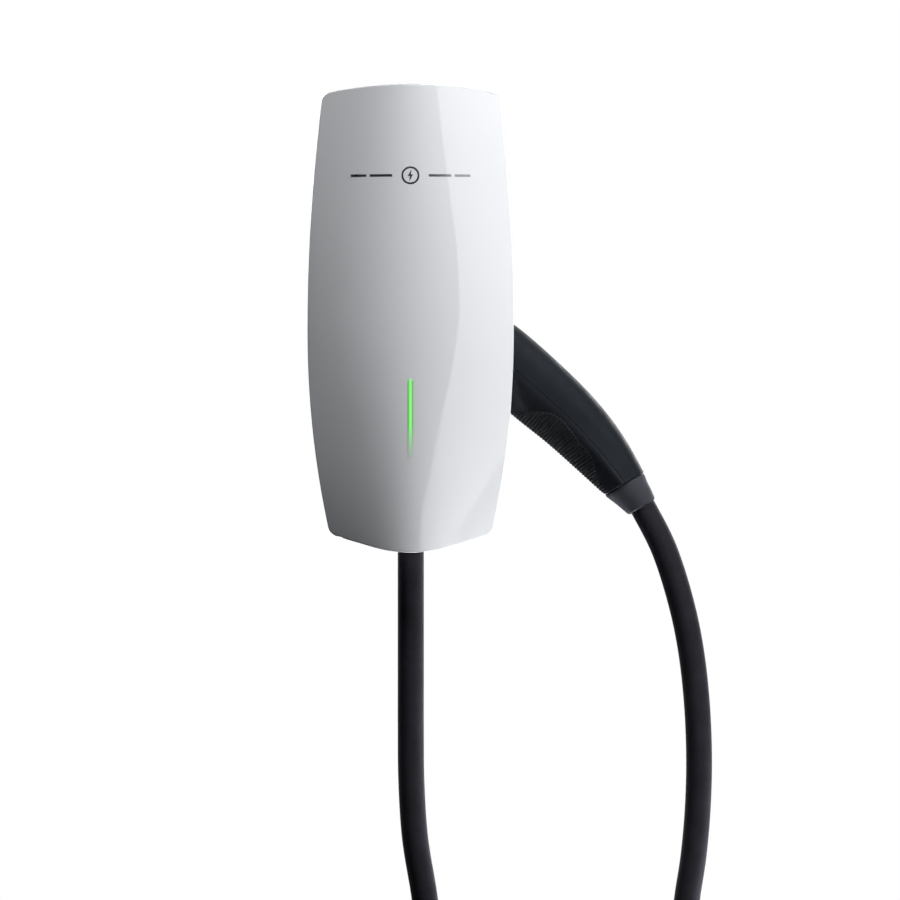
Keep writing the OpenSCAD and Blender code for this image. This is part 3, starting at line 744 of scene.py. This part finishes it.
@dataclass(frozen=True)
class PlateSurface:
    """Bowed surface of the faceplate and its outline."""

    half_height: float = 0.1725
    half_wide: float = 0.0763
    wide_z: float = -0.010
    side_top: float = 1.404
    side_low: float = 0.694
    top_radius: float = 0.350
    tip_radius: float = 0.103
    tip_angle: float = math.radians(16)
    crown_front: float = 0.110
    sag: float = 0.022
    lean_top: float = 0.006
    lean_low: float = 0.012
    corner: float = 0.007
    corner_top_z: float = 0.160
    corner_low_z: float = -0.155
    walk: int = 4
    folds: tuple[float, ...] = (0.42, 0.42, 0.5, 0.78, 1.2, 1.15, 0.82, 0.68, 0.6)

    def half_width(self, z: float) -> float:
        """Half width of the outline at a height."""
        r = self.side_top if z > self.wide_z else self.side_low
        return self.half_wide - r + math.sqrt(r * r - (z - self.wide_z) ** 2)

    def top_z(self, x: float) -> float:
        """Height of the top edge."""
        return self.half_height - self.top_radius + math.sqrt(self.top_radius**2 - x * x)

    def bottom_z(self, x: float) -> float:
        """Height of the bottom edge, two slopes joined by a round tip."""
        a, tip_x = abs(x), self.tip_radius * math.sin(self.tip_angle)
        if a < tip_x:
            return -self.half_height + self.tip_radius - math.sqrt(self.tip_radius**2 - a * a)
        rise = self.tip_radius * (1 - math.cos(self.tip_angle))
        return -self.half_height + rise + (a - tip_x) * math.tan(self.tip_angle)

    def crown(self, z: float) -> float:
        """Distance from the wall of the middle line."""
        share = z / self.half_height
        return self.crown_front - (self.lean_top if z > 0 else self.lean_low) * share * share

    def fold(self, z: float) -> float:
        """How softly the surface turns over its middle line: large is a bow, small a keel."""
        return level(self.folds, (z / self.half_height + 1) * (len(self.folds) - 1) / 2)

    def depth(self, share: float, z: float) -> float:
        """Distance from the wall at a share of the half width."""
        c = self.fold(z)
        bow = (math.hypot(share, c) - c) / (math.hypot(1, c) - c)
        return self.crown(z) - self.sag * bow

    def corner_cut(self, z: float) -> float:
        """How much the rounded corners take off the half width."""
        high = self.top_z(self.half_width(self.corner_top_z) - self.corner) - self.corner
        low = self.bottom_z(self.half_width(self.corner_low_z) - self.corner) + self.corner
        over = max(z - high, low - z)
        return 0.0 if over <= 0 else self.corner - math.sqrt(max(self.corner**2 - over * over, 0))

    def point(self, across: float, up: float) -> Vector:
        """Point of the surface, found by walking to where height and width agree.

        Args:
            across: From -1 at the left edge to 1 at the right edge.
            up: From 0 at the bottom edge to 1 at the top edge.

        Returns:
            The point in the frame.
        """
        x = across * (self.half_wide - self.corner)
        for _ in range(self.walk):
            low, high = self.bottom_z(x), self.top_z(x)
            z = low + (high - low) * up
            x = across * (self.half_width(z) - self.corner_cut(z))
        return self.over(x, z)

    def over(self, x: float, z: float, back: float = 0.0) -> Vector:
        """Point of the surface over a place in the outline."""
        return Vector((x, -(self.depth(clamp(x / self.half_width(z), -1, 1), z) - back), z))


@dataclass
class Faceplate:
    """The clip-on white glass, its carrier, the pictogram and the status light."""

    surface: PlateSurface = PlateSurface()
    glass: float = 0.0032
    rim: float = 0.0007
    columns: int = 132
    rows: int = 200
    lamp_proud: float = 0.00012
    lamp_depth: float = 0.0009
    mark_z: float = 0.105
    bars: tuple[tuple[float, float], ...] = ((0.0135, 0.0300), (0.0325, 0.0440))
    bar_height: float = 0.0018
    ring: float = 0.0066
    ring_stroke: float = 0.0013
    bolt_height: float = 0.0088
    bolt: tuple[tuple[float, float], ...] = (
        (0.0009, 0.5), (-0.0021, -0.06), (-0.0002, -0.06), (-0.0009, -0.5), (0.0021, 0.08), (0.0002, 0.08))

    def glass_plate(self, finishes: Finishes) -> Object:
        """The bowed glass with polished edges."""
        bm = bent_grid(self.columns, self.rows, lambda u, v: self.surface.point(2 * u - 1, v))
        face_front(bm)
        bmesh.ops.solidify(bm, geom=bm.faces[:], thickness=self.glass)
        bmesh.ops.recalc_face_normals(bm, faces=bm.faces)
        sharp = [edge for edge in bm.edges
                 if len(edge.link_faces) == 2 and edge.calc_face_angle(0) > math.radians(50)]
        bmesh.ops.bevel(bm, geom=sharp, offset=self.rim, offset_type="OFFSET", segments=3, profile=0.5,
                        affect="EDGES", material=-1)
        piece = make_piece("glass_plate", bm, finishes["glass_white"], 60)
        return settle(piece, Body.PLATE, "glass_white", "faceplate")

    def lamp(self, finishes: Finishes) -> Object:
        """The slim status light, flush in the glass."""
        top, half = LAMP_TOP, LAMP_HALF_WIDTH

        def place(u: float, v: float) -> Vector:
            """Point of the light's face, rounded at its two ends."""
            z = top - LAMP_LENGTH * (1 - v)
            end = min(z - (top - LAMP_LENGTH), top - z)
            width = half * math.sqrt(clamp(end / half * (2 - end / half), 0, 1)) if end < half else half
            return self.surface.over((2 * u - 1) * max(width, half * 0.2), z, -self.lamp_proud)

        bm = bent_grid(8, 64, place)
        face_front(bm)
        bmesh.ops.solidify(bm, geom=bm.faces[:], thickness=self.lamp_depth)
        piece = make_piece("status_light", bm, finishes["status_green"])
        return settle(piece, Body.PLATE, "status_green", "status_lens")

    def inlay(self, bm: BMesh, lift: float = 0.00008, thickness: float = 0.0003) -> BMesh:
        """Lays a flat figure drawn in x and z onto the glass and gives it a body."""
        bmesh.ops.triangulate(bm, faces=bm.faces[:])
        bmesh.ops.subdivide_edges(bm, edges=[e for e in bm.edges if e.calc_length() > 0.004], cuts=3,
                                  use_grid_fill=True)
        for vert in bm.verts:
            vert.co = self.surface.over(vert.co.x, vert.co.z, -lift)
        face_front(bm)
        bmesh.ops.solidify(bm, geom=bm.faces[:], thickness=thickness)
        return bm

    def pictogram(self, finishes: Finishes) -> Object:
        """A plain bolt in a ring between two pairs of short bars."""
        whole = bmesh.new()
        for side in (-1, 1):
            for start, end in self.bars:
                bar = bmesh.new()
                bmesh.ops.create_grid(bar, x_segments=10, y_segments=2, size=0.5)
                bmesh.ops.scale(bar, vec=(end - start, self.bar_height, 1), verts=bar.verts)
                stand_up(bar, side * (start + end) / 2, self.mark_z)
                join_into(whole, bar)
        ring = bmesh.new()
        for radius in (self.ring, self.ring - self.ring_stroke):
            bmesh.ops.create_circle(ring, cap_ends=False, segments=64, radius=radius)
        bmesh.ops.bridge_loops(ring, edges=ring.edges[:])
        stand_up(ring, 0, self.mark_z)
        join_into(whole, ring)
        bolt = bmesh.new()
        bolt.faces.new([bolt.verts.new((x, 0, self.mark_z + z * self.bolt_height)) for x, z in self.bolt])
        join_into(whole, bolt)
        piece = make_piece("pictogram", self.inlay(whole), finishes.mark)
        return settle(piece, Body.PLATE, "carrier_grey")

    def build(self, finishes: Finishes) -> None:
        """Makes the plate's pieces."""
        self.glass_plate(finishes)
        self.lamp(finishes)
        self.pictogram(finishes)


# ---------------------------------------------------------------- connector


@dataclass(frozen=True)
class HandleSurface:
    """Skin of the connector's handle, a squarish oval drawn along a curve."""

    head: tuple[float, float, float] = (0.056, -0.057, -0.019)
    stations: tuple[tuple[float, ...], ...] = (
        (0, 27, 0, -27, 20), (23.4, 12.9, 4, -37, 20.5), (53.7, -13.4, 19, -51.5, 20),
        (80.2, -39.9, 44.5, -72, 19), (101.1, -66.9, 65.5, -90.6, 17), (116.9, -94.7, 87.9, -111, 14.5))
    power: float = 0.85

    @property
    def last(self) -> int:
        """Place of the last station."""
        return len(self.stations) - 1

    def section(self, place: float) -> tuple[Vector, Vector, float, float]:
        """Middle, upward arm, reach and half depth of a section."""
        row = [value * MM for value in along(self.stations, place)]
        top, low = Vector((row[0], 0, row[1])), Vector((row[2], 0, row[3]))
        arm = (top - low).normalized()
        return Vector(self.head) + (top + low) / 2, arm, (top - low).length / 2, row[4]

    def point(self, place: float, turn: float, lift: float = 0.0) -> Vector:
        """Point of the skin.

        Args:
            place: Place along the handle, from 0 at its head.
            turn: Angle in degrees: 0 at the front, 90 on top, 180 at the rear, 270 below.
            lift: Distance outside the skin.

        Returns:
            The point in the frame.
        """
        middle, arm, reach, half_depth = self.section(place)
        c, n = math.cos(math.radians(turn)), math.sin(math.radians(turn))
        up = (reach + lift) * math.copysign(abs(n) ** self.power, n)
        out = (half_depth + lift) * math.copysign(abs(c) ** self.power, c)
        return middle + arm * up - Vector((0, out, 0))


@dataclass
class Connector:
    """Handle shells, ribbed grip and the collar at the cable."""

    skin: HandleSurface = HandleSurface()
    wall: float = 0.0024
    gap: float = 0.06
    crease: float = 0.0024
    lip_depth: float = 0.00015
    lip_reach: float = 1.2
    end_gap: float = 0.012
    end_round: float = 0.0007
    end_reach: float = 0.05
    crowding: float = 0.06
    rib_pitch: float = 0.00245
    rib_height: float = 0.0005
    rib_start: float = 1.55
    rib_end: float = 4.93
    rib_spacing: float = 0.26
    pad_height: float = 0.0006
    pad_wall: float = 0.0008
    pad_rows: int = 400
    rib_tops: tuple[float, ...] = (88, 72, 60, 27, 10, 6, 7, 9, 11, 10, 17, 35, 47, 52)
    # Middle x and z, tilt in degrees, half width and half depth; lengths in millimetres from the head.
    collar_rows: tuple[tuple[float, ...], ...] = (
        (100.2, -100.2, 29.4, 13.7, 12.2), (102.2, -103.1, 29.4, 13.8, 12.3),
        (102.15, -103.05, 29.4, 15.5, 13.9), (102.45, -103.5, 29.4, 16.2, 14.5),
        (103.6, -105.1, 29.6, 16.1, 14.5), (107, -109.4, 30.4, 14.5, 13.4),
        (110.7, -113.8, 31, 13.3, 12.4), (113.6, -117.7, 31.2, 12.1, 11.5),
        (114.7, -119.2, 31.2, 11.6, 11.1), (115.2, -119.9, 31.2, 10.8, 10.5),
        (115.2, -119.9, 31.2, 9.85, 9.85), (113.1, -116.3, 31.2, 9.6, 9.6))

    def swell(self, place: float, turn: float) -> float:
        """Raised soft line along the parting, growing towards the collar."""
        below = (turn + 180) % 360 - 180
        grow = 0.25 + 0.75 * smooth_step((place - 2.6) / (self.skin.last - 2.8))
        away = min(abs(below + 5), abs(below + 175), abs(below - 185))
        return self.crease * grow * bump_at(away, 0, 8 + 5 * grow)

    def lip(self, turn: float, start: float, end: float) -> float:
        """Rounded edge of a shell where it meets the other one."""
        away = min(turn - start, end - turn)
        return -self.lip_depth * (1 - smooth_step(away / self.lip_reach)) ** 2

    def hollow(self, bm: BMesh, wall: float) -> BMesh:
        """Turns an open skin outwards and gives it a wall."""
        face_away(bm, self.skin.section(self.skin.last / 2)[0])
        bmesh.ops.solidify(bm, geom=bm.faces[:], thickness=wall)
        return bm

    def shell(self, start: float, end: float) -> BMesh:
        """One shell between two turning angles."""
        last = self.skin.last - self.end_gap

        def place(u: float, v: float) -> Vector:
            """Point of the shell's outer face."""
            turn = start + (end - start) * (u - self.crowding * math.sin(2 * math.pi * u))
            s = last * v
            edge = -self.end_round * (1 - smooth_step((last - s) / self.end_reach)) ** 2
            return self.skin.point(s, turn, self.swell(s, turn) + self.lip(turn, start, end) + edge)

        bm = bent_grid(110, 130, place)
        return self.hollow(bm, self.wall)

    def rib_mask(self, s: float, turn: float) -> float:
        """Where the ribs stand: across the underside and up the sides, below a curved line."""
        limit = level(self.rib_tops, (s - self.rib_start) / self.rib_spacing)
        below = min(turn - 180, 360 - turn)
        return smooth_step((below - limit) / 2.6) * (1 - smooth_step((s - 4.84) / 0.08))

    def grip(self) -> BMesh:
        """Soft pad with fine ribs across the underside."""
        lower = [self.skin.point(k / self.pad_rows * self.skin.last, 270) for k in range(self.pad_rows + 1)]
        travelled = [0.0]
        for a, b in zip(lower, lower[1:]):
            travelled.append(travelled[-1] + (b - a).length)

        def place(u: float, v: float) -> Vector:
            """Point of the pad's face with its ribs."""
            s = self.rib_start + (self.rib_end - self.rib_start) * v
            turn = 182.5 + 175 * u
            run = level(travelled, s / self.skin.last * self.pad_rows)
            ridge = abs(math.cos(math.pi * run / self.rib_pitch)) ** 1.4
            lift = -self.pad_height + self.rib_mask(s, turn) * (self.pad_height + self.rib_height * ridge)
            return self.skin.point(s, turn, self.swell(s, turn) + lift)

        bm = bent_grid(96, self.pad_rows, place)
        return self.hollow(bm, self.pad_wall)

    def collar(self) -> BMesh:
        """Tapered collar between handle and cable, with a small step at its head."""
        head = Vector(self.skin.head)

        def place(u: float, v: float) -> Vector:
            """Point of the collar's skin."""
            x, z, tilt, wide, deep = along(self.collar_rows, v * (len(self.collar_rows) - 1))
            lean, turn = math.radians(tilt), 2 * math.pi * u
            across = Vector((math.cos(lean), 0, math.sin(lean)))
            return (head + Vector((x, 0, z)) * MM + across * (wide * MM * math.cos(turn))
                    + Vector((0, deep * MM * math.sin(turn), 0)))

        bm = bent_grid(72, 40, place)
        close_holes(bm)
        bmesh.ops.recalc_face_normals(bm, faces=bm.faces)
        return bm

    def build(self, finishes: Finishes) -> None:
        """Makes the connector's outer pieces."""
        upper, lower = self.shell(self.gap, 180 - self.gap), self.shell(180 + self.gap, 360 - self.gap)
        for name, bm, slot, crease, node in (
            ("handle_upper", upper, "handle_gloss", 35, "handle_upper_shell"),
            ("handle_lower", lower, "handle_satin", 35, "handle_lower_shell"),
            ("ribbed_grip", self.grip(), "grip_soft", 60, "soft_grip"),
            ("cable_collar", self.collar(), "boot_grey", 40, "cable_boot"),
        ):
            settle(make_piece(name, bm, finishes[slot], crease), Body.CONNECTOR, slot, node)


# ---------------------------------------------------------------- parts kept from the frame


@dataclass(frozen=True)
class KeptPart:
    """A part whose shape comes from the frame: its slot and the width of its rounded edges."""

    node: str
    slot: str
    edge: float

    def dress(self, finishes: Finishes) -> None:
        """Gives the part its finish, and rounds its edges on a copy where they are seen."""
        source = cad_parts[self.node]
        if not self.edge:
            source.data.materials.clear()
            source.data.materials.append(finishes[self.slot])
            return
        bm = bmesh.new()
        bm.from_mesh(source.data)
        bmesh.ops.remove_doubles(bm, verts=bm.verts, dist=2e-6)
        flat = math.radians(1.2)
        bmesh.ops.dissolve_limit(bm, angle_limit=flat, verts=bm.verts, edges=bm.edges)
        copy = make_piece(f"{self.node}_cased", bm, finishes[self.slot], 32)
        rounding = copy.modifiers.new("rounded_edges", "BEVEL")
        rounding.width, rounding.segments = self.edge, 2
        rounding.limit_method, rounding.angle_limit = "ANGLE", math.radians(38)
        rounding.harden_normals = True
        settle(copy, Body.UNIT, self.slot, self.node)


# Slot of each kept part, in the order of dressing.
KEPT_SLOTS = {
    "wall_base": "case_grey", "base_gasket": "seal_black", "entry_grommet": "seal_black",
    "conduit_plug": "seal_black", "terminal_block": "block_ivory", "terminal_screws": "brass",
    "ground_bar": "brass", "main_housing": "case_grey", "housing_seal": "seal_black",
    "front_cover": "cover_grey", "cover_screws": "screw_steel", "housing_screws": "screw_steel",
    "stab_contacts": "contact_silver", "power_board": "board_green", "contactor_relays": "relay_black",
    "current_sensor": "coil_blue", "power_supply": "supply_yellow", "control_board": "board_green",
    "board_chips": "relay_black", "board_standoffs": "brass", "led_board": "board_green",
    "light_pipe": "light_guide", "dock_socket": "nose_black", "dock_seal": "seal_black",
    "gland_body": "nose_black", "gland_nut": "nose_black", "strain_relief": "seal_black",
    "cord_grip": "screw_steel", "cable_tail": "cable_jacket", "output_leads": "lead_insulation",
    "plate_carrier": "carrier_grey", "plate_clips": "carrier_grey", "nose_shell": "nose_black",
    "contact_carrier": "insulator_grey", "power_contacts": "contact_silver", "signal_contacts": "brass",
    "release_button": "nose_black", "button_spring": "screw_steel", "switch_board": "board_green",
    "shell_screws": "screw_steel", "handle_clamp": "screw_steel", "handle_cable_end": "cable_jacket",
    "handle_leads": "lead_insulation",
}
ROUNDED_EDGES = {"wall_base": 0.0008, "main_housing": 0.0008, "front_cover": 0.0005}
KEPT_PARTS = tuple(KeptPart(node, slot, ROUNDED_EDGES.get(node, 0.0)) for node, slot in KEPT_SLOTS.items())


# ---------------------------------------------------------------- studio


@dataclass(frozen=True)
class SoftLight:
    """A square soft light aimed at a point."""

    name: str
    place: tuple[float, float, float]
    power: float
    target: tuple[float, float, float] = (0, -0.1, 0)
    size: float = 0.5
    mirrored: bool = False

    def build(self) -> None:
        """Makes the light, which isn't seen directly and is mirrored only if asked."""
        data = bpy.data.lights.new(self.name, "AREA")
        data.shape, data.size, data.size_y = "RECTANGLE", self.size, self.size
        data.energy = self.power
        light = bpy.data.objects.new(self.name, data)
        light.location = self.place
        light.rotation_euler = (Vector(self.target) - Vector(self.place)).to_track_quat("-Z", "Y").to_euler()
        light.visible_camera, light.visible_glossy = False, self.mirrored
        bpy.context.scene.collection.objects.link(light)


@dataclass(frozen=True)
class ShapedPanel:
    """A large glowing panel cut to a shape, which the glass mirrors with a crisp edge."""

    name: str
    place: tuple[float, float, float]
    target: tuple[float, float, float]
    outline: tuple[tuple[float, float], ...]
    radiance: float

    def build(self) -> None:
        """Makes the panel, which glows on its front only and isn't seen directly."""
        ahead = (Vector(self.target) - Vector(self.place)).normalized()
        right = ahead.cross(Vector((0, 0, 1))).normalized()
        up = right.cross(ahead)
        bm = bmesh.new()
        bm.faces.new([bm.verts.new(Vector(self.place) + right * u + up * v) for u, v in self.outline])
        bmesh.ops.triangulate(bm, faces=bm.faces[:])
        bmesh.ops.recalc_face_normals(bm, faces=bm.faces)
        if sum(face.normal.dot(ahead) for face in bm.faces) < 0:
            bmesh.ops.reverse_faces(bm, faces=bm.faces)
        board = Board(self.name)
        board.base((0, 0, 0), 1.0, specular=0.0)
        board.shader.inputs["Emission Color"].default_value = WHITE
        front = board.maths("SUBTRACT", board.node("ShaderNodeNewGeometry").outputs["Backfacing"], 1.0)
        board.link(board.maths("MULTIPLY", front, -self.radiance), board.shader.inputs["Emission Strength"])
        panel = make_piece(self.name, bm, board.material)
        panel.visible_camera = panel.visible_diffuse = False


@dataclass
class Studio:
    """Camera, pale floor, even surroundings and soft lights."""

    eye: tuple[float, float, float] = (0.02905, -6.088, -0.0969)
    lens: float = 325.5
    floor_z: float = -1.25
    floor_half: float = 4.0
    floor_glow: float = 0.62
    surround: float = 0.03
    surround_tint: Colour = (0.82, 0.9, 1.0)
    panel: ShapedPanel = ShapedPanel(
        "key_panel", (1.75, -1.35, 0.20), (0.02, -0.09, -0.05),
        ((-0.94, 0.56), (0.14, 0.56), (0.14, -0.74), (-0.165, -0.80), (-0.19, -1.30), (-1.75, -1.30),
         (-1.68, -1.02), (-1.32, -0.88), (-1.13, -0.70), (-0.98, -0.46), (-0.84, -0.18), (-0.83, 0.05),
         (-0.92, 0.33)), 2.1)
    lights: tuple[SoftLight, ...] = (
        SoftLight("side_right", (1.299, -0.85, 0.0), 12.9),
        SoftLight("high_right", (0.482, -0.675, 1.299), 15.4, mirrored=True),
        SoftLight("low_right", (1.279, -0.326, -0.75), 0.9),
        SoftLight("left_rim", (-1.1, 0.8, -0.55), 12, (0.1, -0.05, -0.3)),
        SoftLight("top_left", (-0.430, -0.714, 1.299), 4.6, mirrored=True),
        SoftLight("under_fill", (0.34, 0.12, -0.62), 16, (0.12, -0.057, -0.12), 0.4),
        SoftLight("rear_fill", (-0.9, 1.9, 0.9), 60, (0.05, 0, -0.2), 1.6, mirrored=True),
        SoftLight("rear_right", (1.4, 1.7, 0.5), 32, (0.05, 0, -0.2), 1.2, mirrored=True),
    )

    def camera(self) -> None:
        """Places the camera straight in front."""
        data = bpy.data.cameras.new("front_camera")
        data.lens, data.sensor_width = self.lens, SENSOR_WIDTH
        data.clip_start, data.clip_end = 0.1, 100
        camera = bpy.data.objects.new("front_camera", data)
        camera.location = self.eye
        camera.rotation_euler = (math.radians(90), 0, 0)
        bpy.context.scene.collection.objects.link(camera)
        bpy.context.scene.camera = camera

    def floor(self) -> None:
        """Lays the pale floor, which glows a little but doesn't light the unit."""
        bm = bmesh.new()
        bmesh.ops.create_grid(bm, x_segments=1, y_segments=1, size=self.floor_half)
        bmesh.ops.translate(bm, vec=(0, 0, self.floor_z), verts=bm.verts)
        board = Board("pale_floor")
        board.base((0.8, 0.8, 0.8), 0.8)
        board.paint(board.mixed(board.noise(2, 2), (0.79, 0.79, 0.79), (0.82, 0.82, 0.82)))
        board.shader.inputs["Emission Color"].default_value = WHITE
        board.shader.inputs["Emission Strength"].default_value = self.floor_glow
        floor = make_piece("studio_floor", bm, board.material)
        floor.visible_diffuse = floor.visible_glossy = False

    def surroundings(self) -> None:
        """White behind the object, and dim light from all round."""
        world = bpy.data.worlds.new("studio")
        world.use_nodes = True
        tree = world.node_tree
        tree.nodes.clear()
        seen, felt = tree.nodes.new("ShaderNodeBackground"), tree.nodes.new("ShaderNodeBackground")
        seen.inputs["Color"].default_value = WHITE
        felt.inputs["Color"].default_value = (*self.surround_tint, 1)
        felt.inputs["Strength"].default_value = self.surround
        chooser, rays = tree.nodes.new("ShaderNodeMixShader"), tree.nodes.new("ShaderNodeLightPath")
        tree.links.new(rays.outputs["Is Camera Ray"], chooser.inputs[0])
        tree.links.new(felt.outputs[0], chooser.inputs[1])
        tree.links.new(seen.outputs[0], chooser.inputs[2])
        tree.links.new(chooser.outputs[0], tree.nodes.new("ShaderNodeOutputWorld").inputs["Surface"])
        bpy.context.scene.world = world
        bpy.context.scene.view_settings.view_transform = "Standard"

    def build(self) -> None:
        """Sets up the studio, apart from the camera."""
        self.floor()
        self.surroundings()
        for light in (self.panel, *self.lights):
            light.build()
            LOG.info("lit %s", light.name)


def main() -> None:
    """Builds the unit in order and reports each piece."""
    studio = Studio()
    studio.camera()
    finishes = Finishes()
    cord = ChargingCable()
    cable = cord.build(finishes)
    cord.declare(CableTies().build(finishes))
    Faceplate().build(finishes)
    Connector().build(finishes)
    for part in KEPT_PARTS:
        part.dress(finishes)
        LOG.info("dressed %s", part.node)
    studio.build()


if __name__ == "__main__":
    logging.basicConfig(level=logging.INFO, format="%(name)s: %(message)s")
    main()
